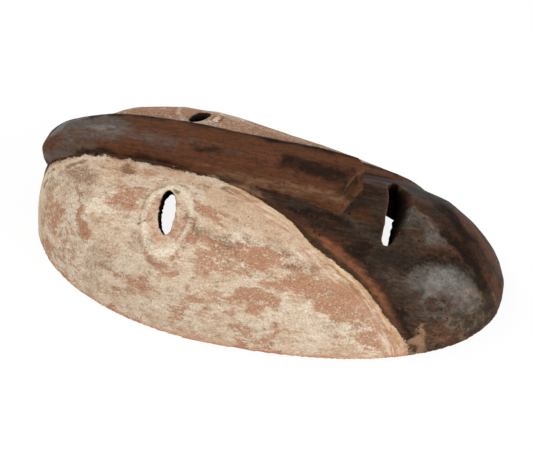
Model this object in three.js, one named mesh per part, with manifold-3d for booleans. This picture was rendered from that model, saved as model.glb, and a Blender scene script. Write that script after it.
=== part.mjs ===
// A miniature face mask carved from one piece of wood.
// Millimetres. X is the width, +Y runs up the face to the forehead, +Z points out of the face,
// and the flat back rim lies on z = 0. The carving is worked out from stations along Y, and the
// finished mask is then moved so that the middle of its length is at y = 0.
import * as THREE from 'three';
import { mergeVertices } from 'three/addons/utils/BufferGeometryUtils.js';
import Module from 'manifold-3d';

const wasm = await Module();
wasm.setup();

// Rim outline: an egg, blunter at the chin, widest a little above the middle.
const FOREHEAD_END = 83.8;
const CHIN_END = -80.5;
const HALF_WIDTH = 48.7;
const WIDEST_Y = 11.5;
const FOREHEAD_BLUNTNESS = 2.0;
const CHIN_BLUNTNESS = 2.13;

// Cheeks and forehead: height of the dome along the middle, and how square its section is.
const DOME_CREST = [
  [-72, 17.5], [-58, 24.5], [-40, 31], [-20, 34.5], [0, 37],
  [20, 38], [40, 38.4], [55, 38.3], [66, 35.8], [74, 32],
];
const DOME_ROUNDNESS = [[-75, 1.8], [-40, 1.84], [0, 1.97], [40, 2.65], [75, 2.35]];

// Muzzle: the lower face inside the two arrises, with the lip bump along its middle.
const MUZZLE_CREST = [
  [-79, 8.5], [-76, 14.2], [-70, 20.6], [-61, 26.6],
  [-53, 30.4], [-45, 33.6], [-37, 37], [0, 38],
];
const MUZZLE_ROUNDNESS = 1.73;
const LIP_BUMP = [[-56, 0], [-50, 2.5], [-44, 5], [-36, 6], [-28, 6], [-12, 4], [0, 2]];
const LIP_BUMP_HALF_WIDTH = 13.5;
const LIP_BUMP_FADE = 4;

// Arris: the crisp edge from the ridge down to the rim, where the cheek steps down to the muzzle.
const ARRIS_TOP_Y = 18;
const ARRIS_RIM_Y = -53;
const ARRIS_HALF_WIDTH = [
  [-53, 36.6], [-44, 30.9], [-34, 26], [-24, 21.9],
  [-14, 18], [-4, 14], [8, 10.6], [18, 8],
];
const ARRIS_STEP = [[-53, 0], [-40, 1.2], [-25, 2.3], [0, 1.8], [18, 0.8]];
const ARRIS_STEP_RUN = 0.6;
const ARRIS_BLEND_START = 0.45;

// Ridge: the tall rounded bar from the forehead down to the tip of the nose.
const RIDGE_CREST = [
  [-34, 47], [-15, 47.2], [10, 48], [28, 48.3], [45, 47.6],
  [58, 46], [66, 44.2], [74, 41.6], [83, 38],
];
const RIDGE_HALF_WIDTH = [[-34, 11.4], [-10, 10], [20, 9.2], [50, 9], [74, 8.1]];
const RIDGE_SQUARENESS = 2.4;
const RIDGE_SUNK = 6;
const RIDGE_ROUND_Y = 74;
const RIDGE_END_Y = 82;
const RIDGE_END_Z = 31.5;
const NOSE_TIP_Y = -27.6;
const NOSE_FOOT_Y = -23.6;
const NOSE_TIP_Z = 47;
const NOSE_FOOT_Z = 33;

// Hollow back.
const RIM_WIDTH = 7.5;
// The wall grows thicker towards the chin, by this much at the rim.
const CHIN_RIM_EXTRA = 5;
const CHIN_RIM_START_Y = -20;
const CHIN_RIM_FULL_Y = -42;
const ROOF_THICKNESS = 6.8;
const HOLLOW_ROUND_TOP_Y = 62;
const HOLLOW_ROUND_CHIN_Y = -60;
const BELOW_RIM = 5;

// Eye slits and mouth.
const EYE_X = 26.2;
const EYE_Y = 30.6;
const EYE_HALF_LENGTH = 7.4;
const EYE_HALF_HEIGHT = 3.1;
const EYE_TILT = THREE.MathUtils.degToRad(34);
const EYE_DEPTH = 34;
const MOUTH_TOP_Y = -37.8;
const MOUTH_DROP = 8.3;
const MOUTH_HALF_WIDTH = 15.8;
const MOUTH_ROUNDNESS = 2.6;
const MOUTH_TILT = THREE.MathUtils.degToRad(14);
const MOUTH_DEPTH = 30;
const CUTTER_OVERLAP = 10;
const NOSE_CUT_SIZE = 4 * HALF_WIDTH;

// Facets.
const SKULL_STATIONS = 62;
const HOLLOW_STATIONS = 38;
const RIDGE_STATIONS = 34;
const RIDGE_END_STATIONS = 7;
const CHEEK_STEPS = 10;
const MUZZLE_STEPS = 9;
const HOLLOW_STEPS = 24;
const RIDGE_STEPS = 14;
const HOLE_STEPS = 24;
const END_CROWDING = 0.85;
const TINY = 1e-6;
const JOIN_DISTANCE = 1e-4;
const SHORTEST_EDGE = 0.03;

const WOOD = new THREE.MeshStandardMaterial({ color: 0x4a3527, roughness: 0.55, metalness: 0 });

const clamp = THREE.MathUtils.clamp;
const lerp = THREE.MathUtils.lerp;

// A smooth curve through [station, value] pairs, with no overshoot between them.
function curveThrough(knots) {
  const slopes = knots.slice(1).map(([y, value], i) => (value - knots[i][1]) / (y - knots[i][0]));
  const tangents = knots.map((knot, i) => {
    const before = slopes[i - 1] ?? slopes[i];
    const after = slopes[i] ?? slopes[i - 1];
    return before * after > 0 ? (2 * before * after) / (before + after) : 0;
  });
  return (station) => {
    const y = clamp(station, knots[0][0], knots[knots.length - 1][0]);
    const i = Math.max(0, knots.findIndex((knot) => knot[0] >= y) - 1);
    const span = knots[i + 1][0] - knots[i][0];
    const t = (y - knots[i][0]) / span;
    const bend = (1 - t) ** 2 * t * span * tangents[i] - (1 - t) * t ** 2 * span * tangents[i + 1];
    return lerp(knots[i][1], knots[i + 1][1], t * t * (3 - 2 * t)) + bend;
  };
}

// One at the start, falling along a quarter of an ellipse to nothing at the end.
function quarterRound(y, start, end) {
  return Math.sqrt(1 - clamp((y - start) / (end - start), 0, 1) ** 2);
}

// Unit superellipse height at the fraction s of its half width.
function superellipse(s, power) {
  return (1 - clamp(s, 0, 1) ** power) ** (1 / power);
}

const domeCrest = curveThrough(DOME_CREST);
const domeRoundness = curveThrough(DOME_ROUNDNESS);
const muzzleCrest = curveThrough(MUZZLE_CREST);
const lipBump = curveThrough(LIP_BUMP);
const arrisLine = curveThrough(ARRIS_HALF_WIDTH);
const arrisStep = curveThrough(ARRIS_STEP);
const ridgeCrest = curveThrough(RIDGE_CREST);
const ridgeHalfWidth = curveThrough(RIDGE_HALF_WIDTH);

// Half width of the rim outline at y, drawn in by inset all round.
function outlineHalfWidth(y, inset = 0) {
  const forehead = y > WIDEST_Y;
  const reach = (forehead ? FOREHEAD_END - WIDEST_Y : WIDEST_Y - CHIN_END) - inset;
  const power = forehead ? FOREHEAD_BLUNTNESS : CHIN_BLUNTNESS;
  return (HALF_WIDTH - inset) * superellipse(Math.abs(y - WIDEST_Y) / reach, power);
}

function rimHalfWidth(y) {
  return Math.max(outlineHalfWidth(y), TINY);
}

function domeHeight(x, y) {
  const lowest = DOME_CREST[0][0];
  const highest = DOME_CREST[DOME_CREST.length - 1][0];
  const ends = quarterRound(y, highest, FOREHEAD_END) * quarterRound(y, lowest, CHIN_END);
  return domeCrest(y) * ends * superellipse(x / rimHalfWidth(y), domeRoundness(y));
}

function muzzleHeight(x, y) {
  const s = x / rimHalfWidth(y);
  const crest = muzzleCrest(y) * quarterRound(y, MUZZLE_CREST[0][0], CHIN_END);
  const bump = lipBump(y);
  const fade = 1 - clamp(s, 0, 1) ** LIP_BUMP_FADE;
  const lip = bump * Math.exp(-((x / LIP_BUMP_HALF_WIDTH) ** 2)) * fade;
  return (crest - bump) * superellipse(s, MUZZLE_ROUNDNESS) + lip;
}

// Half width of the muzzle: the arris down to where it meets the rim, then the rim itself.
function muzzleHalfWidth(y) {
  return y < ARRIS_RIM_Y ? rimHalfWidth(y) : Math.min(arrisLine(y), rimHalfWidth(y));
}

// Height inside the arris, which rises to meet the foot of the step. Above the arris it is the forehead.
function lowerFaceHeight(x, y) {
  const edge = muzzleHalfWidth(y);
  if (y < ARRIS_RIM_Y) return muzzleHeight(x, y);
  if (y > ARRIS_TOP_Y) return domeHeight(x, y);
  const foot = Math.max(domeHeight(edge, y) - arrisStep(y), 0);
  const t = clamp((x / edge - ARRIS_BLEND_START) / (1 - ARRIS_BLEND_START), 0, 1);
  return muzzleHeight(x, y) + (foot - muzzleHeight(edge, y)) * t * t * (3 - 2 * t);
}

// One half of the section of the face at y, from the rim to the middle, as [x, z] points.
function halfSection(y) {
  const rim = rimHalfWidth(y);
  const edge = muzzleHalfWidth(y);
  const cheek = Array.from({ length: CHEEK_STEPS + 1 }, (unused, i) => {
    const x = edge + (rim - edge) * Math.cos(((i / CHEEK_STEPS) * Math.PI) / 2);
    return [x, y < ARRIS_RIM_Y ? 0 : domeHeight(x, y)];
  });
  const inner = Math.max(edge - (y < ARRIS_RIM_Y ? 0 : ARRIS_STEP_RUN), 0);
  const muzzle = Array.from({ length: MUZZLE_STEPS + 1 }, (unused, i) => {
    const x = inner * Math.cos((i / MUZZLE_STEPS) * Math.PI / 2);
    return [x, lowerFaceHeight(x, y)];
  });
  return [...cheek, ...muzzle];
}

// A closed ring of [x, z] points from one half section and its mirror image.
function mirroredRing(half) {
  const left = half.map(([x, z]) => [-x, z]);
  const right = half.slice(0, -1).reverse();
  return [...left, ...right];
}

// A closed body through rings of equal length, one ring at each station along Y.
// Points that coincide are joined, and faces that vanish with them are left out.
function loft(stations, ringAt) {
  const rings = stations.map(ringAt);
  const count = rings[0].length;
  const points = rings.flatMap((ring, i) => ring.map(([x, z]) => [x, stations[i], z]));
  const triangles = [];
  for (let i = 0; i + 1 < rings.length; i += 1) {
    for (let j = 0; j < count; j += 1) {
      const a = i * count + j;
      const b = i * count + ((j + 1) % count);
      triangles.push([a, b, b + count], [a, b + count, a + count]);
    }
  }
  for (let j = 1; j + 1 < count; j += 1) {
    const last = (rings.length - 1) * count;
    triangles.push([0, j + 1, j], [last, last + j, last + j + 1]);
  }
  return solidFrom(points, triangles);
}

function solidFrom(points, triangles) {
  const geometry = new THREE.BufferGeometry();
  geometry.setAttribute('position', new THREE.Float32BufferAttribute(points.flat(), 3));
  geometry.setIndex(triangles.flat());
  return solidOf(geometry);
}

// A three.js geometry as a solid, with its shared vertices joined.
function solidOf(source) {
  const bare = source.clone();
  bare.deleteAttribute('normal');
  bare.deleteAttribute('uv');
  const joined = mergeVertices(bare, JOIN_DISTANCE);
  const index = joined.index.array;
  const kept = [];
  for (let i = 0; i < index.length; i += 3) {
    const [a, b, c] = index.subarray(i, i + 3);
    if (a !== b && b !== c && c !== a) kept.push(a, b, c);
  }
  const vertProperties = new Float32Array(joined.attributes.position.array);
  return new wasm.Manifold(new wasm.Mesh({ numProp: 3, vertProperties, triVerts: new Uint32Array(kept) }));
}

function geometryOf(solid) {
  const mesh = solid.getMesh();
  const geometry = new THREE.BufferGeometry();
  geometry.setAttribute('position', new THREE.Float32BufferAttribute(mesh.vertProperties, 3));
  geometry.setIndex([...mesh.triVerts]);
  return geometry;
}

// Stations from one end to the other, closer together towards both ends.
function stationsBetween(start, end, steps) {
  return Array.from({ length: steps + 1 }, (unused, i) => {
    const t = i / steps;
    const eased = (1 - Math.cos(t * Math.PI)) / 2;
    return lerp(start, end, lerp(t, eased, END_CROWDING));
  });
}

// Cheeks, forehead and muzzle as one solid block with a flat back.
function makeSkull() {
  return loft(stationsBetween(CHIN_END, FOREHEAD_END, SKULL_STATIONS), (y) => mirroredRing(halfSection(y)));
}

// The smooth hollow that opens at the back rim.
function makeHollow() {
  const chin = CHIN_END + RIM_WIDTH + CHIN_RIM_EXTRA;
  const forehead = FOREHEAD_END - RIM_WIDTH;
  return loft(stationsBetween(chin, forehead, HOLLOW_STATIONS), (y) => {
    const thicker = clamp((y - CHIN_RIM_START_Y) / (CHIN_RIM_FULL_Y - CHIN_RIM_START_Y), 0, 1);
    const half = outlineHalfWidth(y, RIM_WIDTH + CHIN_RIM_EXTRA * thicker * thicker * (3 - 2 * thicker));
    const ends = quarterRound(y, HOLLOW_ROUND_TOP_Y, forehead) * quarterRound(y, HOLLOW_ROUND_CHIN_Y, chin);
    const outer = Math.min(domeCrest(y), muzzleCrest(y));
    const roof = (outer - ROOF_THICKNESS) * ends;
    const dome = Array.from({ length: HOLLOW_STEPS / 2 + 1 }, (unused, i) => {
      const s = Math.cos((i / HOLLOW_STEPS) * Math.PI);
      return [half * s, roof * superellipse(s, domeRoundness(y))];
    });
    return mirroredRing([[half, -BELOW_RIM], ...dome]);
  });
}

// The ridge, running on past the nose tip so that one slanted cut ends it there.
function makeRidge() {
  const body = stationsBetween(RIDGE_CREST[0][0], RIDGE_ROUND_Y, RIDGE_STATIONS);
  const tip = Array.from({ length: RIDGE_END_STATIONS }, (unused, i) => {
    const turn = ((i + 1) / RIDGE_END_STATIONS) * (Math.PI / 2);
    return lerp(RIDGE_ROUND_Y, RIDGE_END_Y, Math.sin(turn));
  });
  const bar = loft([...body, ...tip], (y) => {
    const close = quarterRound(y, RIDGE_ROUND_Y, RIDGE_END_Y);
    const half = ridgeHalfWidth(y) * Math.sqrt(close);
    const side = Math.min(y, RIDGE_ROUND_Y);
    const shoulder = Math.min(domeHeight(half, side), lowerFaceHeight(ridgeHalfWidth(side), side));
    const foot = lerp(RIDGE_END_Z, shoulder, close);
    const top = lerp(RIDGE_END_Z, ridgeCrest(y), close);
    const arch = Array.from({ length: RIDGE_STEPS / 2 + 1 }, (unused, i) => {
      const s = Math.cos((i / RIDGE_STEPS) * Math.PI);
      return [half * s, foot + (top - foot) * Math.sqrt(1 - s ** RIDGE_SQUARENESS)];
    });
    return mirroredRing([[half, foot - RIDGE_SUNK * close], ...arch]);
  });
  return bar.subtract(makeNoseCut());
}

// A block whose upper side is the slanted underside of the nose.
function makeNoseCut() {
  const lean = Math.atan2(NOSE_FOOT_Y - NOSE_TIP_Y, NOSE_TIP_Z - NOSE_FOOT_Z);
  const block = new THREE.BoxGeometry(NOSE_CUT_SIZE, NOSE_CUT_SIZE, NOSE_CUT_SIZE);
  block.translate(0, -NOSE_CUT_SIZE / 2, 0);
  block.rotateX(lean);
  block.translate(0, NOSE_TIP_Y, NOSE_TIP_Z);
  return solidOf(block);
}

// A flat outline pushed through the wall along Z, turned about the given axis, then set in place.
function makeCutter(outline, depth, rotate, place) {
  const shape = new THREE.Shape(outline);
  const cutter = new THREE.ExtrudeGeometry(shape, { depth, bevelEnabled: false });
  cutter.translate(0, 0, CUTTER_OVERLAP - depth);
  rotate(cutter);
  cutter.translate(...place);
  return solidOf(cutter);
}

function makeEyeSlit(side) {
  const outline = Array.from({ length: HOLE_STEPS }, (unused, i) => {
    const angle = (i / HOLE_STEPS) * Math.PI * 2;
    return new THREE.Vector2(EYE_HALF_LENGTH * Math.cos(angle), EYE_HALF_HEIGHT * Math.sin(angle));
  });
  const place = [side * EYE_X, EYE_Y, domeHeight(EYE_X, EYE_Y)];
  return makeCutter(outline, EYE_DEPTH, (cutter) => cutter.rotateY(side * EYE_TILT), place);
}

// A crescent mouth: a straight upper edge and a curved lower one.
function makeMouth() {
  const outline = Array.from({ length: HOLE_STEPS + 1 }, (unused, i) => {
    const s = Math.cos((i / HOLE_STEPS) * Math.PI);
    const drop = MOUTH_DROP * superellipse(Math.abs(s), MOUTH_ROUNDNESS);
    return new THREE.Vector2(-MOUTH_HALF_WIDTH * s, -drop);
  });
  const place = [0, MOUTH_TOP_Y, lowerFaceHeight(0, MOUTH_TOP_Y)];
  return makeCutter(outline, MOUTH_DEPTH, (cutter) => cutter.rotateX(MOUTH_TILT), place);
}

function makeMask() {
  const block = makeSkull().add(makeRidge());
  const cuts = [makeHollow(), makeEyeSlit(-1), makeEyeSlit(1), makeMouth()];
  return cuts.reduce((solid, cut) => solid.subtract(cut), block).simplify(SHORTEST_EDGE);
}

const mask = new THREE.Mesh(geometryOf(makeMask()), WOOD);
mask.name = 'mask';
mask.position.y = -(FOREHEAD_END + CHIN_END) / 2;

const part = new THREE.Group();
part.add(mask);

export default part;
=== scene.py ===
"""A miniature face mask carved from one piece of wood, lying face up on its hollow back."""

import math

import bpy
import numpy as np
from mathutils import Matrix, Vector, noise
from mathutils.bvhtree import BVHTree


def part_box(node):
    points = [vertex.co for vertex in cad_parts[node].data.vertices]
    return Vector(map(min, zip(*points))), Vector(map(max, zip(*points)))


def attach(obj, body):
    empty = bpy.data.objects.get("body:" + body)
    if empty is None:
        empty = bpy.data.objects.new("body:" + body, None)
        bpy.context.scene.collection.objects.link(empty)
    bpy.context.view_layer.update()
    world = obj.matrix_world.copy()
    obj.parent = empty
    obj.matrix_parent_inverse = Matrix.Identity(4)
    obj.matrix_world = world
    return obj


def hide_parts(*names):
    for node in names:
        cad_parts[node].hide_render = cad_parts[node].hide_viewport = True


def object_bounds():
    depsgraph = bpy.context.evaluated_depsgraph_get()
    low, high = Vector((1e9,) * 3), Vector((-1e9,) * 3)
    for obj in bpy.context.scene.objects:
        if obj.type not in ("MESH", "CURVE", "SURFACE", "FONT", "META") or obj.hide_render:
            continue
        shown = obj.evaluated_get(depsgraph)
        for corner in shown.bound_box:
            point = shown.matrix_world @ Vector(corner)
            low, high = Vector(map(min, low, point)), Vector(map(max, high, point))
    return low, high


bl_info = {
    "name": "Carved Miniature Mask",
    "version": (1, 0, 0),
    "blender": (4, 5, 0),
    "location": "View3D > Sidebar > Mask",
    "description": "Carves and finishes a miniature wooden face mask and sets up its studio",
    "category": "Object",
}

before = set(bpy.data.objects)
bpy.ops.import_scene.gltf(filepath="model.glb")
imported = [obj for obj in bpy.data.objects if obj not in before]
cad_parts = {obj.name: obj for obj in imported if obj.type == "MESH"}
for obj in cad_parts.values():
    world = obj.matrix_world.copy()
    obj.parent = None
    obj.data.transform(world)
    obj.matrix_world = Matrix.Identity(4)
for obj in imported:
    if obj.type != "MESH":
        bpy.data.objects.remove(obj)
CAD_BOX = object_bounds()
SOLID_LOW, SOLID_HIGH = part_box("mask")

# All shapes below are worked out in millimetres, along Y from the chin to the forehead, and moved
# by MIDDLE_Y when they are written, so that the middle of the length lies at y = 0.
MM = 0.001
MIDDLE_Y = 1.65
FOREHEAD_END = 83.8
CHIN_END = -80.5
WIDEST_Y = 13.5
FOREHEAD_BLUNTNESS = 1.95
CHIN_BLUNTNESS = 2.17

DOME_CREST = (
    (-72, 17.5), (-58, 24.5), (-40, 31), (-20, 34.5), (0, 37), (20, 38), (40, 38.4), (55, 38.3),
    (66, 35.8), (74, 32),
)
DOME_ROUNDNESS = ((-75, 1.8), (-40, 1.84), (0, 1.97), (40, 2.65), (56, 2.74), (75, 2.35))
MUZZLE_CREST = (
    (-79, 8.2), (-76, 13.6), (-70, 19.9), (-61, 26.1), (-53, 30.7), (-45, 34.1), (-37, 37), (0, 38),
)
MUZZLE_ROUNDNESS = 1.73
LIP_BUMP = ((-56, 0), (-50, 2.5), (-44, 5), (-36, 6), (-28, 6), (-12, 4), (0, 2))
LIP_BUMP_HALF_WIDTH = 13.5
LIP_BUMP_FADE = 4

ARRIS_TOP_Y = 18
ARRIS_RIM_Y = -53
ARRIS_HALF_WIDTH = (
    (-53, 36.6), (-44, 30.9), (-34, 26), (-24, 21.9), (-14, 18), (-4, 14), (8, 10.6), (18, 8),
)
ARRIS_STEP = ((-53, 0), (-40, 1.2), (-25, 2.3), (0, 1.8), (18, 0.8))
ARRIS_STEP_RUN = 0.6
ARRIS_BLEND_START = 0.45

RIDGE_CREST = (
    (-34, 44.8), (-27, 46.2), (-20, 47.2), (-10, 47.8), (10, 48.1), (28, 48.3), (45, 47.5), (58, 45.8),
    (66, 43.4), (74, 39.8), (83, 35),
)
RIDGE_HALF_WIDTH = ((-34, 11.4), (-10, 10), (20, 9.2), (50, 9), (74, 8.1))
RIDGE_SQUARENESS = 3.0
RIDGE_SUNK = 6
RIDGE_ROUND_Y = 74
RIDGE_END_Y = 82
RIDGE_END_Z = 31.5
NOSE_TIP_Y = -28.9
NOSE_TIP_Z = 46.4
NOSE_FACET_FACING = (0.45, -0.892, -0.036)

CHIN_RIM_EXTRA = 5
CHIN_RIM_START_Y = -20
CHIN_RIM_FULL_Y = -42
HOLLOW_ROUND_TOP_Y = 62
HOLLOW_ROUND_CHIN_Y = -60
BELOW_RIM = 5

# The openings, with the middle of each eye, and how their edges and walls run.
NEAR_EYE = (-27, 31.3)
FAR_EYE = (26.2, 33.8)
EYE_TURN = math.radians(9)
EYE_TILT = math.radians(43)
EYE_LEAN = math.radians(-2)
EYE_DEPTH = 34
MOUTH_TOP_Y = -38.8
MOUTH_ARCH = 2.6
MOUTH_EDGE_DROP = 8.2
MOUTH_HALF_WIDTH = 15.8
MOUTH_ROUNDNESS = 3.4
MOUTH_LIFT = 2.6
MOUTH_TILT = math.radians(14)
MOUTH_DEPTH = 30
MOUTH_FLARE = 1.0
MOUTH_FLARE_DEPTH = 4
MOUTH_NARROWING = 0.45
MOUTH_NARROW_DEPTH = 9
MOUTH_LOWER_LIFT = (0.35, 1)
MOUTH_UPPER_LIFT = (-0.35, 0.55)
CUTTER_OVERLAP = 10
# How rough the edges of the openings are, in rows of a seed, a size in millimetres and a fineness.
SLIT_RAGGED = ((5.0, 0.35, 2.2), (7.0, 0.55, 8.0))
SLIT_RAGGED_LENGTH = 0.4
MOUTH_RAGGED = ((9.0, 0.3, 3.0), (11.0, 0.3, 11.0))

# The line where the chalk white stops, a little outside the arris.
PAINT_LINE = (
    (-57, 36), (-53.3, 35), (-50, 34.6), (-45.2, 33.8), (-41, 31.9), (-38, 30.6), (-35, 29.3),
    (-29.6, 27.6), (-23.4, 25.7), (-19.8, 24.6), (-14.6, 22.2), (-9, 18.4), (-5.6, 17), (0.6, 14.8),
    (4, 13.6), (10, 11.7), (16, 10.4),
)
PAINT_LIP_RISE = 0.3
PAINT_LIP_WIDTH = 0.8
BAND_FALL = 0.6
BAND_FADE = 6
BAND_LEAST_WIDTH = 0.5
PAINT_END_Y = -57

# Low relief: the ring and trough round each eye, the lower lip, the groove under it and the chin.
EYE_RING_X = 28.4
NEAR_RING_Y = 30.5
FAR_RING_Y = 34.7
EYE_RING_HALF_LENGTH = 10.5
EYE_RING_HALF_HEIGHT = 7.6
NEAR_RING_RISE = 0.65
FAR_RING_RISE = 0.25
EYE_RING_SOFTNESS = 0.17
EYE_TROUGH_DEPTH = 0.7
EYE_TROUGH_EDGE = (0.5, 0.95)
FAR_TROUGH_SHARE = 0.5
LIP_ROLL_RISE = 1.2
LIP_ROLL_AWAY = 3.6
LIP_ROLL_WIDTH = 3.2
LIP_ROLL_LEAST = 0.3
LIP_NEAR_SIDE = (1, 9)
LIP_FAR_SIDE = (4, 12)
LIP_FADE = (-2, 6)
LIP_GROOVE_DEPTH = 1.2
LIP_GROOVE_AWAY = 9.8
LIP_GROOVE_WIDTH = 3.6
CHIN_SWELL = 1.0
CHIN_SWELL_X = 10
CHIN_SWELL_Y = -63
CHIN_SWELL_WIDTH = 9
RIM_RELIEF_FADE = 6

HALF_WIDTH = (SOLID_HIGH[0] - SOLID_LOW[0]) / 2 / MM

# Unevenness of the hand-carved surface, and how far noise pushes the edges of strokes.
UNEVEN_SWELL = 0.22
UNEVEN_DENTS = 0.09
ADZE_DEPTH = 0.7
ADZE_MARKS = (0.15, 0.085, 0.15)
ADZE_SHIFT = 7.0
ADZE_FADE = (0.3, 1.5)
RIM_KEPT_FLAT = 0.2
STROKE_SHIFT_X = 2.2
STROKE_SHIFT_Y = 3.4
STROKE_SOFTNESS = (0.3, 2.2)

# Meshes: columns and rows of each skin, and sides and cuts of each rod, before they are combined.
BLANK_GRID = (560, 400)
RIDGE_GRID = (120, 320)
HOLLOW_GRID = (280, 260)
SLIT_GRID = (160, 14)
MOUTH_GRID = (240, 29)
# How much of a section is its underside, how much of its side is cheek, and how far the rows crowd
# towards the ends.
UNDER_SHARE = 0.1
CHEEK_SHARE = 0.55
CROWDING = 0.9
RIDGE_CROWDING = 0.75
TINY = 1e-9
SEAM = 1e-7
# Thinning: how near to the hollow its vertices lie, how many of them stay, and the triangles in all.
INSIDE_REACH = 0.3
HOLLOW_KEPT = 0.15
MASK_FACES = 194000

# How near to a tool, in millimetres, a vertex counts as made by it.
HOLLOW_REACH = 0.6
HOLLOW_FADE = (0.25, 0.9)
RIDGE_REACH = 0.7
RIDGE_CLEAR = 0.6
OPENING_REACH = (0.3, 0.8)
OPENING_DEPTH = (0.5, 4.0)
RIM_REACH = 0.25

# How the chalk white ends at the ridge: clear of its foot and of its end, with a ragged edge.
PAINT_GAP = 0.4
PAINT_END_GAP = 2.0
PAINT_RAGGED = 0.35
# Painted shade on the far cheek, laid as rubs and smudges all along the ridge: how strong it is, where it
# ends, and how plain the rest is.
FAR_RUB_SHADE = 0.6
FAR_SMUDGE_SHADE = 0.45
BY_RIDGE_X = (27, 35)
BY_RIDGE_Y = (64, 74)
FAR_PLAIN = 0.2
# Where the arris is worn, how much elsewhere and on the far side, and where its band ends at the chin.
WORN_TOP = (-24, -10)
WORN_CHIN = (-49, -40)
WORN_LEAST = 0.2
WORN_FAR = 0.35
ARRIS_CHIN_FADE = (-54, -50)

# Studio. Each soft box has its direction from the mask, its side in metres and its power in watts.
CAMERA_PLACE = (-0.50686, -0.09836, 0.46486)
CAMERA_TURN = (48.746, -2.904, -76.336)
CAMERA_LENS = 135.08
CAMERA_SENSOR = 36
FILL_SIDE = (-0.87, -0.1, 0.35)
SOFT_BOX_DISTANCE = 0.75
SOFT_BOXES = (
    ("chin_box", (-0.34, -0.8, 0.46), 0.34, 2.4),
    ("forehead_box", (0.25, 0.62, 0.75), 0.34, 2.2),
)
FLOOR_GLOW = 0.9
FLOOR_SIZE = 6
BUMP_STRENGTH = 0.7
BUMP_DEPTH = 0.0003


def curve_through(knots):
    """A smooth curve through (station, value) pairs, with no overshoot between them."""
    stations = np.array([knot[0] for knot in knots], float)
    values = np.array([knot[1] for knot in knots], float)
    slopes = np.diff(values) / np.diff(stations)
    before = np.concatenate([slopes[:1], slopes])
    after = np.concatenate([slopes, slopes[-1:]])
    total = np.where(before * after > 0, before + after, 1.0)
    tangents = np.where(before * after > 0, 2 * before * after / total, 0.0)

    def at(y):
        y = np.clip(y, stations[0], stations[-1])
        i = np.clip(np.searchsorted(stations, y) - 1, 0, len(slopes) - 1)
        span = stations[i + 1] - stations[i]
        t = (y - stations[i]) / span
        bend = (1 - t) ** 2 * t * span * tangents[i] - (1 - t) * t**2 * span * tangents[i + 1]
        return values[i] + (values[i + 1] - values[i]) * t * t * (3 - 2 * t) + bend

    return at


def quarter_round(y, start, end):
    """One at the start, falling along a quarter of an ellipse to nothing at the end."""
    return np.sqrt(1 - np.clip((y - start) / (end - start), 0, 1) ** 2)


def superellipse(s, power):
    return (1 - np.clip(np.abs(s), 0, 1) ** power) ** (1 / power)


def smoothstep(low, high, value):
    t = np.clip((value - low) / (high - low), 0, 1)
    return t * t * (3 - 2 * t)


dome_crest = curve_through(DOME_CREST)
dome_roundness = curve_through(DOME_ROUNDNESS)
muzzle_crest = curve_through(MUZZLE_CREST)
lip_bump = curve_through(LIP_BUMP)
arris_line = curve_through(ARRIS_HALF_WIDTH)
arris_step = curve_through(ARRIS_STEP)
paint_line = curve_through(PAINT_LINE)
ridge_crest = curve_through(RIDGE_CREST)
ridge_half_width = curve_through(RIDGE_HALF_WIDTH)


def outline_half_width(y, inset=0.0):
    """Half width of the rim outline at y, drawn in by inset all round."""
    forehead = y > WIDEST_Y
    reach = np.where(forehead, FOREHEAD_END - WIDEST_Y, WIDEST_Y - CHIN_END) - inset
    power = np.where(forehead, FOREHEAD_BLUNTNESS, CHIN_BLUNTNESS)
    return (HALF_WIDTH - inset) * superellipse(np.abs(y - WIDEST_Y) / reach, power)


def rim_half_width(y):
    return np.maximum(outline_half_width(y), 1e-6)


def dome_height(x, y):
    forehead_end = quarter_round(y, DOME_CREST[-1][0], FOREHEAD_END)
    ends = forehead_end * quarter_round(y, DOME_CREST[0][0], CHIN_END)
    return dome_crest(y) * ends * superellipse(x / rim_half_width(y), dome_roundness(y))


def muzzle_height(x, y):
    s = x / rim_half_width(y)
    crest = muzzle_crest(y) * quarter_round(y, MUZZLE_CREST[0][0], CHIN_END)
    bump = lip_bump(y)
    fade = 1 - np.clip(np.abs(s), 0, 1) ** LIP_BUMP_FADE
    lip = bump * np.exp(-((x / LIP_BUMP_HALF_WIDTH) ** 2)) * fade
    return (crest - bump) * superellipse(s, MUZZLE_ROUNDNESS) + lip


def muzzle_half_width(y):
    rim = rim_half_width(y)
    return np.where(y < ARRIS_RIM_Y, rim, np.minimum(arris_line(y), rim))


def lower_face_height(x, y):
    """Height inside the arris, which rises to meet the foot of the step."""
    edge = muzzle_half_width(y)
    muzzle = muzzle_height(x, y)
    foot = np.maximum(dome_height(edge, y) - arris_step(y), 0)
    t = np.clip((np.abs(x) / edge - ARRIS_BLEND_START) / (1 - ARRIS_BLEND_START), 0, 1)
    inside = muzzle + (foot - muzzle_height(edge, y)) * t * t * (3 - 2 * t)
    return np.where(y < ARRIS_RIM_Y, muzzle, np.where(y > ARRIS_TOP_Y, dome_height(x, y), inside))


def soft_bump(distance, width):
    return np.exp(-((distance / width) ** 2))


def ring_reach(x, y):
    """How far a point lies from the middle of the ring round its eye: one on the ring itself."""
    across = (np.abs(x) - EYE_RING_X) / EYE_RING_HALF_LENGTH
    along = (y - np.where(x < 0, NEAR_RING_Y, FAR_RING_Y)) / EYE_RING_HALF_HEIGHT
    return np.hypot(across, along)


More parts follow.
